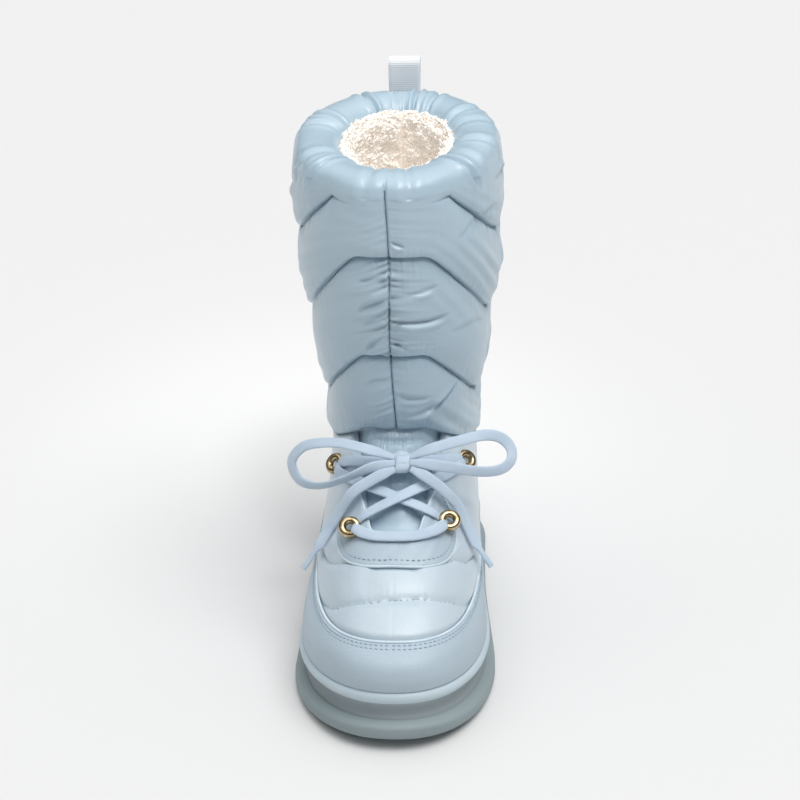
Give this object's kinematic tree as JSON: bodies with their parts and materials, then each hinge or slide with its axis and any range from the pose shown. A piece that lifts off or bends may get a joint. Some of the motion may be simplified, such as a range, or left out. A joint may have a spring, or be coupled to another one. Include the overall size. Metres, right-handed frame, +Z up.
{
  "type": "apres ski boot",
  "caption": "Mid-calf snow boot with a quilted puffer shaft, rolled collar, lace-up instep with metal rings and a banded lugged sole.",
  "frame": {"origin": "on the floor, under the middle of the boot without its bow", "axes": "+Z up, toe towards -Y, heel towards +Y, +X on the medial (inner) side of this right boot"},
  "size_m": [0.1318, 0.2872, 0.3102],
  "materials": {
    "outsole": "matt moulded rubber",
    "midsole": "matt moulded foam rubber",
    "lining": "deep pile",
    "nylon": "glossy down-jacket nylon",
    "leather": "smooth coated leather, semi-matt",
    "webbing": "woven tape",
    "metal": "antique polished",
    "lace": "flat tubular braid"
  },
  "bodies": {
    "root": {"outsole": "outsole", "midsole": "midsole", "insole": "lining", "upper": "nylon", "tongue": "nylon", "rand": "leather", "eyestay": "leather", "shaft": "nylon", "pull_loop": "webbing", "eyelet_lower_left": "metal", "eyelet_lower_right": "metal", "eyelet_upper_left": "metal", "eyelet_upper_right": "metal", "lace_bar": "lace", "lace_crossings": "lace", "lace_knot": "lace", "lace_loop_left": "lace", "lace_loop_right": "lace", "lace_end_left": "lace", "lace_end_right": "lace"}
  },
  "joints": []
}
